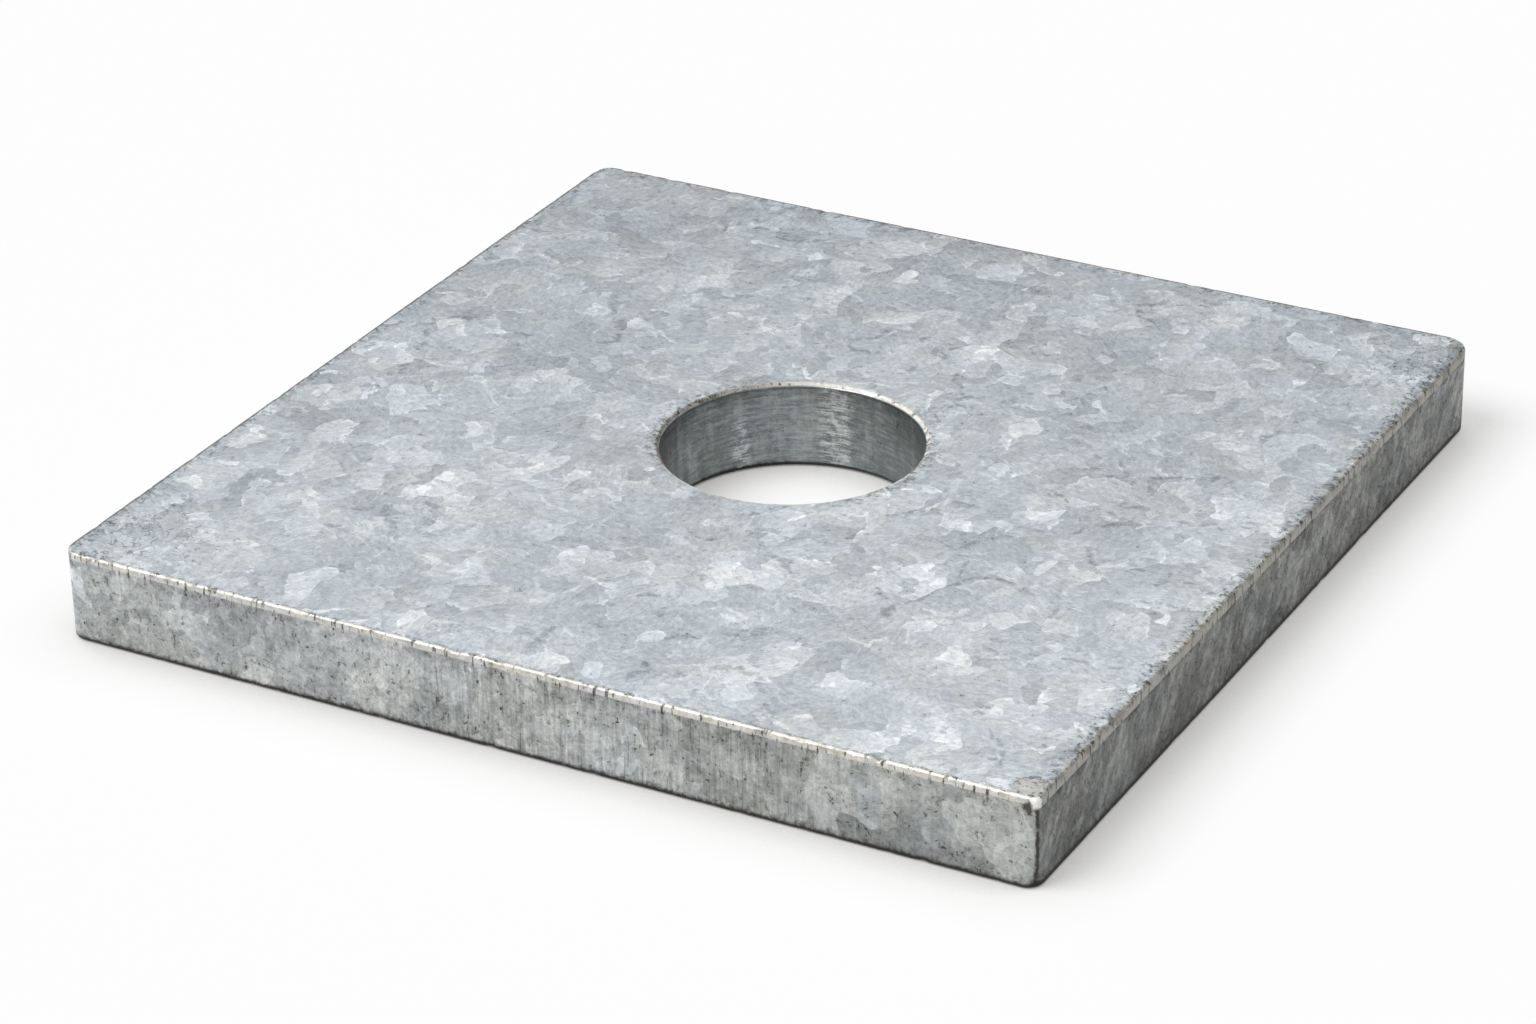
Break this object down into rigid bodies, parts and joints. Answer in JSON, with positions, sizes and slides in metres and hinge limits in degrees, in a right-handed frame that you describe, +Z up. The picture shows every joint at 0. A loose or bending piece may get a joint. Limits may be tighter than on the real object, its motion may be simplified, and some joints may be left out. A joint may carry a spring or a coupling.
{
  "type": "formwork bearing plate",
  "caption": "Square galvanised steel plate with a central round hole, which spreads the load of a formwork tie rod over the members behind it.",
  "frame": {"origin": "on the axis of the hole, at the underside of the plate", "axes": "+X along the front side, +Y towards the back side, +Z up out of the top face, along the hole"},
  "size_m": [0.11, 0.11, 0.01],
  "materials": {
    "galvanised_steel": "hot-dip galvanised, dull grey spangle"
  },
  "bodies": {
    "root": {"bearing_plate": "galvanised_steel"}
  },
  "joints": []
}
